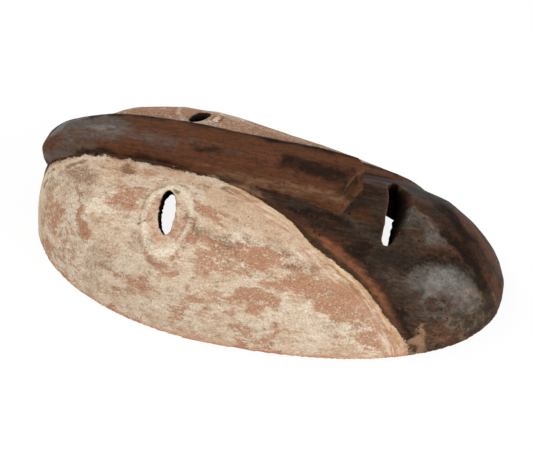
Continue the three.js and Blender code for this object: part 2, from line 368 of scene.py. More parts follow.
def cheek_relief(side_x, y):
    """The ring round the eye, the trough in it, the edge of the pigment and the band beside the arris."""
    x = np.abs(side_x)
    near = side_x < 0
    reach = ring_reach(side_x, y)
    ring = np.where(near, NEAR_RING_RISE, FAR_RING_RISE) * soft_bump(reach - 1, EYE_RING_SOFTNESS)
    trough_share = np.where(near, 1, FAR_TROUGH_SHARE)
    trough = EYE_TROUGH_DEPTH * (1 - smoothstep(*EYE_TROUGH_EDGE, reach)) * trough_share
    gone = 1 - smoothstep(ARRIS_TOP_Y - BAND_FADE, ARRIS_TOP_Y, y)
    lip = PAINT_LIP_RISE * soft_bump(x - paint_line(y), PAINT_LIP_WIDTH) * gone
    band_width = np.maximum(paint_line(y) - arris_line(y), BAND_LEAST_WIDTH)
    band = BAND_FALL * (1 - smoothstep(0, 1, (x - arris_line(y)) / band_width))
    return ring - trough + lip - band * gone


def mouth_distance(x, y):
    """How far outside the mouth's lower edge a point is, measured away from the middle of the mouth."""
    below = np.minimum(y - MOUTH_TOP_Y, 0)
    across = np.hypot(x / MOUTH_HALF_WIDTH, below / MOUTH_EDGE_DROP)
    return np.hypot(x, below) * (1 - 1 / np.maximum(across, 1e-3))


def muzzle_relief(x, y):
    """The rolled lower lip, the shallow groove under it and the swell of the chin."""
    below = 1 - smoothstep(*LIP_FADE, y - MOUTH_TOP_Y)
    beyond = mouth_distance(x, y)
    aside = smoothstep(*LIP_NEAR_SIDE, -x)
    rolled = LIP_ROLL_LEAST + (1 - LIP_ROLL_LEAST) * aside - LIP_ROLL_LEAST * smoothstep(*LIP_FAR_SIDE, x)
    lip = LIP_ROLL_RISE * soft_bump(beyond - LIP_ROLL_AWAY, LIP_ROLL_WIDTH) * rolled
    groove = LIP_GROOVE_DEPTH * soft_bump(beyond - LIP_GROOVE_AWAY, LIP_GROOVE_WIDTH) * aside
    chin = CHIN_SWELL * soft_bump(np.hypot(np.abs(x) - CHIN_SWELL_X, y - CHIN_SWELL_Y), CHIN_SWELL_WIDTH)
    near_rim = 1 - soft_bump(muzzle_height(x, y), RIM_RELIEF_FADE)
    return ((lip - groove) * below + chin) * near_rim


def stations_between(start, end, t, crowding):
    eased = (1 - np.cos(t * np.pi)) / 2
    return start + (end - start) * (t + (eased - t) * crowding)


def select_only(obj):
    bpy.ops.object.select_all(action="DESELECT")
    obj.select_set(True)
    bpy.context.view_layer.objects.active = obj


def read(items, name, per_item=1, kind=np.float32):
    """A property of each of a mesh's items, as one flat array."""
    values = np.empty(len(items) * per_item, kind)
    items.foreach_get(name, values)
    return values


def points_of(obj):
    return read(obj.data.vertices, "co", 3).reshape(-1, 3).astype(float)


def set_points(obj, points):
    obj.data.vertices.foreach_set("co", points.astype(np.float32).ravel())
    obj.data.update()


def write_points(obj, x, y, z):
    set_points(obj, np.stack([x, y - MIDDLE_Y, z], 1) * MM)


def edit_whole(obj, operation, *choices):
    """Runs a mesh operation on the whole of an object, once with each set of settings."""
    select_only(obj)
    bpy.ops.object.mode_set(mode="EDIT")
    for settings in choices:
        bpy.ops.mesh.select_all(action="SELECT")
        operation(**settings)
    bpy.ops.object.mode_set(mode="OBJECT")


def close_up(obj):
    """Joins the vertices that coincide along a seam and at the ends."""
    edit_whole(obj, bpy.ops.mesh.remove_doubles, {"threshold": SEAM})


def added(name, primitive, **settings):
    bpy.ops.object.select_all(action="DESELECT")
    primitive(**settings)
    bpy.context.object.name = name
    return bpy.context.object


def shaped_skin(name, columns, rows, place):
    """A grid rolled into a closed skin along Y, whose every vertex is moved by place(t, turn).

    t runs from 0 at the chin end to 1 at the forehead end. turn goes round the section, with 0 at +X
    and a quarter turn at the top, and UNDER_SHARE of the columns lie on the underside.
    """
    obj = added(name, bpy.ops.mesh.primitive_grid_add, x_subdivisions=columns, y_subdivisions=rows, size=2)
    points = points_of(obj)
    across = (points[:, 0] + 1) / 2
    stops = (0, UNDER_SHARE / 2, 1 - UNDER_SHARE / 2, 1)
    turn = np.interp(across, stops, (1.5 * np.pi, np.pi, 0, -0.5 * np.pi))
    write_points(obj, *place((points[:, 1] + 1) / 2, turn))
    close_up(obj)
    return obj


def shaped_rod(name, sides, cuts, place):
    """A closed cylinder, cut across its length, whose every vertex is moved by place(reach, turn, t).

    reach is 1 on the side and 0 in the middle of an end, and t runs from 0 at the foot to 1 at the top.
    """
    obj = added(name, bpy.ops.mesh.primitive_cylinder_add, vertices=sides, radius=1.0, depth=1.0)
    levels = [-0.5 + (i + 1) / (cuts + 1) for i in range(cuts)]
    planes = [{"plane_co": (0, 0, level), "plane_no": (0, 0, 1)} for level in levels]
    edit_whole(obj, bpy.ops.mesh.bisect, *planes)
    points = points_of(obj)
    reach = np.hypot(points[:, 0], points[:, 1])
    turn = np.arctan2(points[:, 1], points[:, 0])
    write_points(obj, *place(reach, turn, points[:, 2] + 0.5))
    close_up(obj)
    return obj


def apply_modifier(obj, kind, **settings):
    select_only(obj)
    modifier = obj.modifiers.new(kind.title(), kind)
    for key, value in settings.items():
        setattr(modifier, key, value)
    bpy.ops.object.modifier_apply(modifier=modifier.name)


def combine(obj, other, operation):
    apply_modifier(obj, "BOOLEAN", object=other, operation=operation, solver="MANIFOLD")


def make_blank():
    """Cheeks, forehead and muzzle as one solid block with a flat back."""

    def place(t, turn):
        y = stations_between(CHIN_END, FOREHEAD_END, t, CROWDING)
        rim = rim_half_width(y)
        edge = muzzle_half_width(y)
        side = np.where(np.cos(turn) < 0, -1.0, 1.0)
        p = np.arcsin(np.clip(np.sin(turn), 0, 1)) / (np.pi / 2)
        on_cheek = p < CHEEK_SHARE
        cheek_x = edge + (rim - edge) * np.cos(p / CHEEK_SHARE * np.pi / 2)
        relief = cheek_relief(side * cheek_x, y)
        cheek_z = np.where(y < ARRIS_RIM_Y, 0, dome_height(cheek_x, y) + relief)
        inner = np.maximum(edge - np.where(y < ARRIS_RIM_Y, 0, ARRIS_STEP_RUN), 0)
        muzzle_x = inner * np.cos((p - CHEEK_SHARE) / (1 - CHEEK_SHARE) * np.pi / 2)
        muzzle_z = lower_face_height(muzzle_x, y) + muzzle_relief(side * muzzle_x, y)
        under = np.sin(turn) < TINY
        x = np.where(under, rim * np.cos(turn), side * np.where(on_cheek, cheek_x, muzzle_x))
        z = np.where(under, 0, np.where(on_cheek, cheek_z, muzzle_z))
        return x, y, z

    return shaped_skin("blank", *BLANK_GRID, place)


def cut_off(obj, point, facing):
    """Cuts away what lies beyond a plane, on the side that it faces, and closes the cut."""
    x, y, z = point
    plane = {"plane_co": (x * MM, (y - MIDDLE_Y) * MM, z * MM), "plane_no": Vector(facing).normalized()}
    edit_whole(obj, bpy.ops.mesh.bisect, {**plane, "use_fill": True, "clear_outer": True})


def make_ridge():
    """The tall rounded bar from the forehead down to the tip of the nose, cut to an edge by two facets."""

    def place(t, turn):
        y = stations_between(RIDGE_CREST[0][0], RIDGE_END_Y, t, RIDGE_CROWDING)
        close = quarter_round(y, RIDGE_ROUND_Y, RIDGE_END_Y)
        half = ridge_half_width(y) * np.sqrt(close)
        level = np.minimum(y, RIDGE_ROUND_Y)
        width = ridge_half_width(level)
        shoulder = np.minimum(dome_height(half, level), lower_face_height(width, level))
        foot = RIDGE_END_Z + (shoulder - RIDGE_END_Z) * close
        top = RIDGE_END_Z + (ridge_crest(y) - RIDGE_END_Z) * close
        s = np.cos(turn)
        arch = foot + (top - foot) * np.sqrt(1 - np.abs(s) ** RIDGE_SQUARENESS)
        z = np.where(np.sin(turn) > TINY, arch, foot - RIDGE_SUNK * close)
        return half * s, y, z

    ridge = shaped_skin("ridge", *RIDGE_GRID, place)
    across, along, up = NOSE_FACET_FACING
    for side in (-1, 1):
        cut_off(ridge, (0, NOSE_TIP_Y, NOSE_TIP_Z), (side * across, along, up))
    return ridge


def make_hollow(rim_width, wall):
    """The smooth hollow that opens at the back rim."""
    chin = CHIN_END + rim_width + CHIN_RIM_EXTRA
    forehead = FOREHEAD_END - rim_width

    def place(t, turn):
        y = stations_between(chin, forehead, t, CROWDING)
        thicker = CHIN_RIM_EXTRA * smoothstep(CHIN_RIM_START_Y, CHIN_RIM_FULL_Y, y)
        half = outline_half_width(y, rim_width + thicker)
        forehead_end = quarter_round(y, HOLLOW_ROUND_TOP_Y, forehead)
        ends = forehead_end * quarter_round(y, HOLLOW_ROUND_CHIN_Y, chin)
        roof = (np.minimum(dome_crest(y), muzzle_crest(y)) - wall) * ends
        s = np.cos(turn)
        z = np.where(np.sin(turn) > TINY, roof * superellipse(s, dome_roundness(y)), -BELOW_RIM)
        return half * s, y, z

    return shaped_skin("hollow", *HOLLOW_GRID, place)


def ragged(turn, t, rows, side=1):
    """A rough edge: an irregular offset round a hole that changes a little down its wall."""

    def bumpy(seed, size, bumps):
        places = zip(bumps * np.cos(turn), bumps * np.sin(turn), seed * side + 2 * t)
        return size * np.array([noise.fractal(Vector(place), 1.0, 2.0, 3) for place in places])

    return sum(bumpy(*row) for row in rows)


def tilted(x, y, z, axis, angle):
    c, s = math.cos(angle), math.sin(angle)
    if axis == "Z":
        return x * c - y * s, x * s + y * c, z
    if axis == "Y":
        return x * c + z * s, y, z * c - x * s
    return x, y * c - z * s, y * s + z * c


def make_eye_slit(middle, half_length, half_height):
    side = math.copysign(1, middle[0])

    def place(reach, turn, t):
        rough = ragged(turn, t, SLIT_RAGGED, side)
        x = (half_length + SLIT_RAGGED_LENGTH * rough) * reach * np.cos(turn)
        y = (half_height + rough) * reach * np.sin(turn)
        z = CUTTER_OVERLAP - EYE_DEPTH * (1 - t)
        x, y, z = tilted(x, y, z, "Z", -side * EYE_TURN)
        x, y, z = tilted(x, y, z, "X", -EYE_LEAN)
        x, y, z = tilted(x, y, z, "Y", side * EYE_TILT)
        return x + middle[0], y + middle[1], z + float(dome_height(*middle))

    return shaped_rod("eye_slit", *SLIT_GRID, place)


def make_mouth(half_width, drop):
    """A crescent: a slightly arched upper edge and a curved lower one, both higher on the far side."""

    def place(reach, turn, t):
        s = np.cos(turn)
        z = CUTTER_OVERLAP - MOUTH_DEPTH * (1 - t)
        flare = MOUTH_FLARE * smoothstep(-MOUTH_FLARE_DEPTH, 1, z)
        depth = (drop + flare) * (1 - MOUTH_NARROWING * smoothstep(0, -MOUTH_NARROW_DEPTH, z))
        is_lower = np.sin(turn) < 0
        edge = np.where(is_lower, -depth * superellipse(s, MOUTH_ROUNDNESS), 0.0) - MOUTH_ARCH * s**2
        raised = np.where(is_lower, smoothstep(*MOUTH_LOWER_LIFT, s), smoothstep(*MOUTH_UPPER_LIFT, s))
        y = (edge + MOUTH_LIFT * raised + ragged(turn, t, MOUTH_RAGGED)) * reach
        x, y, z = tilted(half_width * s * reach, y, z, "X", MOUTH_TILT)
        return x, y + MOUTH_TOP_Y, z + float(lower_face_height(0.0, MOUTH_TOP_Y))

    return shaped_rod("mouth", *MOUTH_GRID, place)


def tree_of(obj):
    return BVHTree.FromObject(obj, bpy.context.evaluated_depsgraph_get())


def distances(tree, points):
    return np.array([tree.find_nearest(point)[3] for point in points]) / MM


def thin_out(obj, hollow, faces):
    """Thins the triangles, first in the hollow and then where the outside is smooth."""
    points = points_of(obj)
    inside = distances(tree_of(hollow), points) < INSIDE_REACH
    thinned = HOLLOW_KEPT * inside.sum() + (~inside).sum()
    collapse(obj, inside, thinned / len(points))
    points = points_of(obj)
    collapse(obj, np.full(len(points), True), faces / (2 * len(points)))


def collapse(obj, chosen, ratio):
    group = obj.vertex_groups.new(name="thinned")
    group.add(np.nonzero(chosen)[0].tolist(), 1.0, "REPLACE")
    apply_modifier(obj, "DECIMATE", ratio=min(float(ratio), 1.0), vertex_group=group.name)
    obj.vertex_groups.clear()


# Where the chalk white is rubbed through on the cheeks, as strokes from (y, x) to (y, x), each with
# its half width and how strong it is. The near cheek is at negative x. All in the finished mask's place.
NEAR_RUBS = (
    (46.5, -24.5, 42, -25.5, 2.6, 1), (47, -21.5, 41, -22.5, 1.2, 0.7), (59, -28, 55.5, -33.2, 1.2, 1),
    (63, -20, 59.8, -26, 0.8, 0.7), (71, -23.5, 68.5, -25.5, 1.2, 0.75),
    (77, -17.5, 71, -22.5, 0.5, 0.6), (68, -27.5, 62, -33, 0.6, 0.6),
    (21.6, -33, 17.5, -32.8, 1.7, 0.95), (22, -29.5, 20.5, -29, 1.2, 0.6),
    (15.5, -32.5, 4, -33.6, 1.2, 0.9), (4, -33.6, -7, -32, 1.7, 1), (-5, -31.6, -13, -28.4, 1.5, 0.8),
    (21, -23.6, 15, -23.4, 1.7, 0.85), (15, -23.4, 12.4, -22.6, 0.8, 0.7),
    (27, -41.4, 20.5, -41.2, 0.9, 0.7), (10.6, -40.8, 9.6, -40.5, 0.5, 1.1),
    (22, -40.5, 21.6, -36.8, 0.5, 0.6), (44, -41.9, 41.6, -42.2, 0.4, 1.1),
    (22, -46.3, 16, -46.5, 0.5, 0.8), (0.5, -42.4, -11, -42, 1.4, 1), (3.5, -43.6, 0, -42.8, 0.8, 0.8),
    (-0.4, -37.2, -2, -37.2, 1, 0.8), (-20, -34.5, -30, -35, 2.8, 0.95),
    (-26, -37.6, -37, -37.4, 1.8, 0.9), (-30, -33.2, -42, -36, 2, 0.9), (-38, -37, -47, -35.6, 1.4, 0.8),
    (-13, -35.5, -20, -36.4, 1.2, 0.75), (-12, -28.6, -18, -28.5, 0.9, 0.6),
    (-3, -47, -15, -46.2, 0.5, 0.75), (9, -44, 5, -43.6, 0.7, 0.6), (38, -43.3, 30, -44.6, 0.6, 0.6),
    (49, -38.6, 42, -40.2, 0.8, 0.6), (35.6, -30.5, 34.5, -22, 1.2, 0.7),
    (25.2, -32, 25.6, -26.5, 0.9, 0.75), (-8, -38.6, -14, -38.4, 0.8, 0.6),
    (33, -40.4, 28, -42, 0.9, 0.6), (18, -44.5, 8, -46, 0.8, 0.6), (-14, -32, -22, -31, 1.4, 0.6),
    (12, -33, -10, -30, 1.5, 1), (15, -38, 3, -36.6, 1.6, 0.6), (-31, -39.6, -44, -36.8, 1.6, 0.8),
    (-34, -31.6, -42, -33.6, 1.2, 0.8), (-44, -37, -52, -36.6, 1.2, 0.8), (0, -47.4, -14, -46.6, 1, 0.8),
    (52, -14, 38, -13, 1.6, 0.5), (70, -21.6, 60, -32.8, 0.7, 0.7), (-15, -25.4, -24, -26.6, 1, 0.5),
)
# The far cheek's rubs are partly painted shade, broadest beside the ridge.
FAR_RUBS_AND_SHADE = (
    (70, 14, 44, 18, 4.5, 0.85), (30, 12, 10, 14, 3, 0.7), (62, 22, 50, 27, 3, 0.9),
    (48, 30, 40, 34, 2.6, 0.8), (36, 21, 35, 31, 1.4, 0.8), (22, 14, -6, 20, 5, 1),
    (20, 22, 2, 26, 3, 0.95), (14, 33, -4, 36, 2.4, 0.9), (-8, 30, -26, 33, 2.6, 0.9),
    (-18, 38, -36, 38, 2, 0.8), (26, 41, 8, 43, 1.6, 0.7), (70, 17, 62, 30, 1, 0.7),
    (-4, 44, -20, 43, 1, 0.8), (56, 14, 44, 15, 1.6, 0.8), (54, 18, 40, 24, 4, 1),
    (44, 26, 32, 30, 3, 0.8),
)
NEAR_SMUDGES = (
    (66, -15.5, 59, -18, 2.6, 0.85), (63, -21.5, 56, -20.5, 1, 0.5), (22, -14.8, 18.6, -15.2, 1.2, 0.7),
    (55, -38.5, 44, -38.6, 1, 0.5), (47.4, -13.4, 46.2, -12.6, 1.3, 1.4),
    (19, -30.6, 10, -29.6, 1.4, 0.7), (2, -28.4, -12, -27, 1.5, 0.55),
    (-14, -31.5, -24, -28.8, 1.3, 0.7), (31, -42.4, 29, -41, 1, 0.5),
    (73.5, -18.5, 72.4, -14.5, 0.9, 0.6), (10, -16.4, 7, -16, 0.8, 0.5),
    (43, -20.6, 39, -20.4, 0.6, 0.7), (74.8, -11.5, 73.6, -11.9, 0.6, 1.4),
    (67.6, -11.4, 66.4, -11, 0.8, 1.4), (14.8, -11.5, 8.5, -13, 0.7, 1.3), (9, -13, 2, -14.4, 0.5, 0.8),
    (57, -20.4, 51, -22, 0.9, 0.5), (36.6, -32.4, 35.8, -31.6, 0.3, 1.2),
    (33, -18.4, 31.6, -18.8, 0.5, 0.9), (27.6, -19.6, 27.2, -19.2, 0.5, 1.3),
    (-2, -36.2, -10, -36, 0.5, 0.5), (40, -36, 30, -38, 1.6, 0.45), (-28, -42.8, -38, -40.6, 0.8, 0.4),
    (69, -10.6, 61, -11, 0.9, 1), (-25, -27.6, -42, -32.8, 0.3, 1.5), (21, -29, 5, -31.4, 1.6, 0.7),
    (14, -11.8, 1.4, -13.2, 0.5, 1.1), (66, -22, 58, -24, 1.6, 0.5),
)
# The far cheek's smudges are partly painted shade, broadest beside the ridge, as well as soot.
FAR_SMUDGES_AND_SHADE = (
    (76, 12, 48, 16, 5, 0.5), (20, 14, -10, 20, 5, 0.55), (60, 15, 45, 17, 2.2, 0.8),
    (40, 20, 34, 19, 1.6, 0.8), (14, 20, -8, 25, 1.8, 0.8), (4, 31, -14, 32, 1.6, 0.6),
    (30, 11, 0, 14, 2, 0.7), (60, 30, 40, 36, 2.4, 0.6), (54, 17, 36, 20, 3, 0.6),
)
NEAR_CHALK = (
    (55, -29, 49, -26.5, 2.2, 0.9), (14, -37, 8.5, -37.2, 1, 0.9), (-27, -29.4, -38, -32, 0.9, 1.1),
    (-16, -26.4, -30, -28.6, 0.7, 0.9), (8, -30, -2, -29, 1.6, 0.9), (30, -37, 24, -38, 2, 0.6),
    (-34, -41.4, -48, -38, 1, 0.7), (-44, -34.4, -51, -35.8, 0.7, 1), (-22, -39.8, -29, -40.4, 1.2, 0.5),
    (66, -26, 60, -29, 1.8, 0.5), (70, -30, 52, -38, 2, 0.5), (3, -35.8, -6, -36.6, 0.8, 0.8),
)
FAR_CHALK = ((40, 33, 30, 36, 1.6, 0.6), (16, 20, 2, 23, 1.2, 0.6))
# A small chip beside the far eye, pale inside and dark round its edge.
CHIP = ((26.2, 22.5, 25.8, 26.5, 1.2, 1.1),)
# Smooth warm pigment: the sides of the eye ring and the strip beside the arris.
NEAR_PLAIN = (
    (16, -17, 2, -21, 3.6, 1), (4, -20, -8, -24.4, 3, 0.9), (62, -12.8, 30, -12, 1.4, 0.8),
    (30, -12.5, 16, -14, 1.6, 0.8), (34, -36.5, 24, -37.5, 1.6, 0.7),
)

# The tones of the dark wood, in strokes of the same kind. The greyish tone is partly painted sheen, where
# highlights fall on the lower lip and the chin, over a greyish patina.
NEAR_TONES = {
    "grey_and_sheen": (
        (-46, -2, -58, -5, 3.4, 0.9), (-54, -20, -71, -14.5, 4.4, 0.95), (-45, -22, -55, -26, 5, 0.4),
        (-38, -16, -50, -14, 4, 0.3), (-60, -27, -72, -22, 2.6, 0.4), (-30, -12, -36, -12, 1.6, 0.5),
    ),
    "red": (
        (-62, -20, -71, -16, 2.6, 0.6), (-32, -9, -34, -8, 1.3, 0.7), (-50, -8, -56, -11, 2, 0.4),
        (-66, -30, -74, -24, 2.6, 0.6), (-58, -12, -62, -11, 1.4, 0.6),
        (-22, -18.4, -34, -22.5, 1.2, 0.8), (-47, -1, -58, -4, 2.4, 0.9), (-56, -6, -70, -7, 2.4, 0.8),
        (-40, -26, -48, -28, 1.6, 0.5), (-76, -9, -80, -3, 2, 0.7),
    ),
    # Partly painted shade: the valley under the lower lip, the strip beside the foot of the nose and the
    # edge of the chin, over a blackish patina.
    "black_and_shade": (
        (-57, 1.5, -64, -3.5, 2, 1), (-64, -3.5, -77, -10, 2.8, 1.2), (-53, -15, -62, -12, 1.6, 0.75),
        (-31, -21.5, -37, -19, 1.8, 0.9), (-14, -15.6, -30, -17, 2.6, 0.6),
        (-42, -20, -57, -14.5, 2, 0.8), (-45, -29.6, -54, -33, 1.1, 0.9),
        (-4, -12.6, -30, -12.4, 1.2, 0.9), (-24, -9, -32, -7, 1, 0.6), (-37, -13, -47, -9.5, 1.2, 0.7),
        (-30, -3, -36, -12, 2, 0.5), (-60, -12, -68, -10, 1.6, 0.8), (-47, -16, -55, -13, 2, 0.6),
        (-38, -23, -50, -29, 2.4, 0.6),
    ),
    "tan": (
        (-57, -33.5, -59.5, -31.5, 1, 1), (-62, -32, -79, -13, 1.5, 0.32),
        (-49, -0.5, -54, -3, 0.7, 0.55), (18, -10.4, 4, -11.6, 1.3, 0.8), (-71, -15, -79, -8, 1.6, 0.5),
    ),
}
FAR_TONES = {
    "grey_and_sheen": (),
    "red": (
        (-24, 4, -37, 10, 3, 1), (-46, 4, -52, 8, 2, 0.8), (-60, 12, -75, 5, 3, 1),
        (-30, 16, -44, 22, 2, 0.5), (-36, 4, -46, 9, 2.2, 0.9),
    ),
    # Partly painted shade where the far side of the muzzle turns away, over a blackish patina.
    "black_and_shade": (
        (-38, 15, -52, 20, 4, 0.9), (-30, 20, -40, 26, 3, 0.8), (-51, 16, -66, 1, 2.3, 1.2),
        (-62, 5, -76, -2, 2.4, 1), (-36, 8, -50, 11, 2.4, 0.9), (-24, 13, -38, 14, 2.2, 0.9),
        (-62, 22, -74, 18, 3, 0.6),
    ),
    "tan": ((-37, 12, -44, 13, 0.8, 0.5), (-66, 24, -76, 16, 1.2, 0.4)),
}
# The same on the ridge, where the second number is how far down its side from the crest a place lies.
# It is negative on the far side.
RIDGE_TONES = {
    # Partly painted sheen, high on the near side towards the forehead end, over a greyish patina.
    "grey_and_sheen": (
        (74, 0, 56, 0, 3.4, 1.1), (72, 8, 54, 8, 3, 0.7), (54, 5, 36, 9, 3, 0.5),
        (78, 14, 62, 15, 3, 0.7), (30, 6, 12, 7, 1.6, 0.35), (72, 18, 40, 20, 1, 0.5),
    ),
    "red": (
        (57, 12, 46, 12, 1.8, 0.7), (44, 9, -16, 10, 5, 0.85), (20, 13, -20, 14, 2.6, 0.7),
        (-13, 11, -23, 12, 1.8, 1.5), (24, 3.5, 0, 4, 1.4, 0.7),
    ),
    # Partly painted shade along the far edge of the crest and along the foot of the near side, over a
    # blackish patina.
    "black_and_shade": (
        (84, -7, 40, -7, 2.6, 1.5), (40, -6.5, -28, -6, 2.4, 1.2), (66, 15.5, 28, 18.5, 1.7, 0.9),
        (26, 8, 19, 8, 1.6, 0.8), (-6, 6, -24, 7.5, 3, 1), (-27, 3, -26, 15, 1.7, 0.8),
        (30, 20, 12, 20, 0.6, 0.6), (8, 7, 2, 9, 1.6, 0.4),
    ),
    "tan": (
        (14, 17.5, -26, 18, 2.6, 0.5), (24, 15, -2, 15.5, 1.4, 0.35),
    ),
}


def noise_field(points, across, along, seed, octaves):
    """Smooth noise of about -1 to 1 at each point. Its scales are features per millimetre."""
    placed = points * np.array((across, along, across)) + seed
    return np.array([noise.fractal(Vector(point), 1.0, 2.0, octaves) for point in placed])


def warped(points, seed):
    """The points' x and y, shifted by smooth noise, so that strokes get uneven edges."""
    shift_x = noise_field(points, 0.16, 0.12, seed, 3)
    shift_y = noise_field(points, 0.2, 0.1, seed + 20, 3)
    return points[:, 0] + STROKE_SHIFT_X * shift_x, points[:, 1] + STROKE_SHIFT_Y * shift_y


def stroke_field(x, y, strokes):
    """How strongly a set of soft strokes covers each point."""
    field = np.zeros(len(x))
    for y0, x0, y1, x1, width, strength in strokes:
        along = np.array([x1 - x0, y1 - y0])
        t = ((x - x0) * along[0] + (y - y0) * along[1]) / (along @ along)
        t = np.clip(t, 0, 1)
        away = np.hypot(x - x0 - along[0] * t, y - y0 - along[1] * t)
        field = np.maximum(field, strength * (1 - smoothstep(*STROKE_SOFTNESS, away / width)))
    return field


def normals_of(obj):
    return read(obj.data.vertices, "normal", 3).reshape(-1, 3).astype(float)


def convexity(obj, rounds):
    """How sharply the surface bends outwards at each vertex, per millimetre, evened out over neighbours."""
    points = points_of(obj) / MM
    normals = normals_of(obj)
    ends = read(obj.data.edges, "vertices", 2, np.int32)
    a, b = ends[::2], ends[1::2]
    count = np.bincount(a, minlength=len(points)) + np.bincount(b, minlength=len(points))

    def around(values):
        from_a = np.bincount(a, values[b], minlength=len(points))
        from_b = np.bincount(b, values[a], minlength=len(points))
        return (from_a + from_b) / count

    lap = np.stack([around(points[:, k]) - points[:, k] for k in range(3)], 1)
    square = around((points**2).sum(1)) - 2 * (points * (lap + points)).sum(1) + (points**2).sum(1)
    bend = -2 * (lap * normals).sum(1) / np.maximum(square, 1e-6)
    for _ in range(rounds):
        bend = (bend + around(bend)) / 2
    return bend


def weather(obj, hollow):
    """Gives the smooth surface the slight unevenness of hand carving, and the hollow its adze marks."""
    points = points_of(obj) / MM
    normals = normals_of(obj)
    in_hollow = 1 - smoothstep(*ADZE_FADE, distances(tree_of(hollow), points * MM))
    swell = noise_field(points, 0.09, 0.06, 80.0, 2)
    dents = noise_field(points, 0.4, 0.25, 90.0, 3)
    placed = points * np.array(ADZE_MARKS) + ADZE_SHIFT
    marks = np.array([noise.voronoi(Vector(point))[0][0] for point in placed])
    rise = UNEVEN_SWELL * swell + UNEVEN_DENTS * dents + ADZE_DEPTH * in_hollow * np.minimum(marks, 1) ** 2
    moved = points + normals * (rise - UNEVEN_SWELL / 2)[:, None]
    on_rim = points[:, 2] < RIM_KEPT_FLAT
    moved[on_rim, 2] = points[on_rim, 2]
    low = np.array(CAD_BOX[0]) / MM
    high = np.array(CAD_BOX[1]) / MM
    set_points(obj, np.clip(moved, low, high) * MM)


def give_attribute(obj, name, values):
    attribute = obj.data.attributes.new(name, "FLOAT", "POINT")
    attribute.data.foreach_set("value", np.ascontiguousarray(values, np.float32))


def survey(obj, tools):
    """Writes what the finish needs at each vertex, such as how far into the pigment it lies."""
    points = points_of(obj) / MM
    x, y, z = points.T
    half = np.abs(x)
    near = x < 0
    carving_y = y + MIDDLE_Y
    reach = {name: distances(tree_of(tool), points * MM) for name, tool in tools.items()}
    to_opening = np.minimum(np.minimum(reach["near_slit"], reach["far_slit"]), reach["mouth"])
    dome = dome_height(x, carving_y)
    skin = np.where(half > muzzle_half_width(carving_y), dome, lower_face_height(x, carving_y))
    in_opening = (1 - smoothstep(*OPENING_REACH, to_opening)) * smoothstep(*OPENING_DEPTH, skin - z)
    in_hollow = reach["hollow"] < HOLLOW_REACH
    on_ridge = (reach["ridge"] < RIDGE_REACH) & (z > dome + RIDGE_CLEAR)

    # The pigment lies outside the arris and, above it, outside the foot of the ridge.
    past_line = half - paint_line(carving_y)
    past_ridge = half - ridge_half_width(np.minimum(carving_y, RIDGE_ROUND_Y))
    past_end = np.where(carving_y > RIDGE_ROUND_Y, carving_y - RIDGE_END_Y + PAINT_END_GAP, -50)
    blend = smoothstep(ARRIS_TOP_Y - 4, ARRIS_TOP_Y + 1, carving_y)
    past = past_line * (1 - blend) + np.maximum(past_ridge - PAINT_GAP, past_end) * blend
    past += PAINT_RAGGED * noise_field(points, 0.35, 0.3, 12.0, 3) * blend
    past = np.where(carving_y < PAINT_END_Y, -3, past)
    past = np.where(on_ridge, np.minimum(past, -reach["ridge"] - 1.0), past)
    past = np.where(in_hollow, -4, past)
    past = np.where(in_opening > 0.05, -2, past)
    past = np.where(z < RIM_REACH, np.minimum(past, -0.5), past)

    open_face = (~in_hollow & ~on_ridge).astype(float)
    below_top = 1 - smoothstep(ARRIS_TOP_Y - 8, ARRIS_TOP_Y, carving_y)
    by_arris = below_top * smoothstep(*ARRIS_CHIN_FADE, carving_y) * open_face
    worn = (1 - smoothstep(*WORN_TOP, carving_y)) * smoothstep(*WORN_CHIN, carving_y)

    # Rubs, smudges and tones fade into those of the other side across the middle of the face.
    wander_x, wander_y = warped(points, 3.0)
    far_share = smoothstep(-5, 5, wander_x)
    # Painted shade: beside the ridge the far cheek's rubs and smudges never fall below a least share, which
    # darkens it there.
    ridge_shade = (1 - smoothstep(*BY_RIDGE_X, x)) * (1 - smoothstep(*BY_RIDGE_Y, y))

    def covered(strokes, least=0.0):
        return np.maximum(stroke_field(wander_x, wander_y, strokes), least)

    def two_sided(near_strokes, far_strokes, far_least=0.0):
        return covered(near_strokes) * (1 - far_share) + covered(far_strokes, far_least) * far_share

    fields = {
        "paint": past,
        "inside": 1 - smoothstep(*HOLLOW_FADE, reach["hollow"]),
        "rubbed": two_sided(NEAR_RUBS, FAR_RUBS_AND_SHADE, FAR_RUB_SHADE * ridge_shade),
        "smudge_and_shade": two_sided(NEAR_SMUDGES, FAR_SMUDGES_AND_SHADE, FAR_SMUDGE_SHADE * ridge_shade),
        "chalky": np.where(near, covered(NEAR_CHALK), covered(FAR_CHALK)),
        "plain": np.where(near, covered(NEAR_PLAIN), FAR_PLAIN),
        "chip": stroke_field(x, y, CHIP),
        "ring": ring_reach(x, carving_y),
        "arris": half - arris_line(carving_y),
        "by_arris": by_arris,
        "worn_arris": (WORN_LEAST + (1 - WORN_LEAST) * worn) * by_arris * np.where(near, 1.0, WORN_FAR),
        "ridge": on_ridge.astype(float),
        "edge": convexity(obj, 2),
        "opening": in_opening,
    }
    down = np.copysign(half + np.maximum(ridge_crest(carving_y) - z, 0), -x) + wander_x - x
    for tone in NEAR_TONES:
        on_bar = stroke_field(down, wander_y, RIDGE_TONES[tone])
        fields[tone] = np.where(on_ridge, on_bar, two_sided(NEAR_TONES[tone], FAR_TONES[tone]))
    for name, values in fields.items():
        give_attribute(obj, name, values)


def finish_faces(obj):
    """Gives the faces of the hollow the second material."""
    mesh = obj.data
    inside = read(mesh.attributes["inside"].data, "value")
    starts = read(mesh.polygons, "loop_start", kind=np.int32)
    corners = read(mesh.loops, "vertex_index", kind=np.int32)
    hollow = np.minimum.reduceat(inside[corners], starts) > 0.5
    mesh.polygons.foreach_set("material_index", hollow.astype(np.int32))
    mesh.update()


# A Mix node's sockets for colours: its factor, its two colours and its result.
MIX_COLOUR_INPUTS = (0, 6, 7)
MIX_COLOUR_OUTPUT = 2


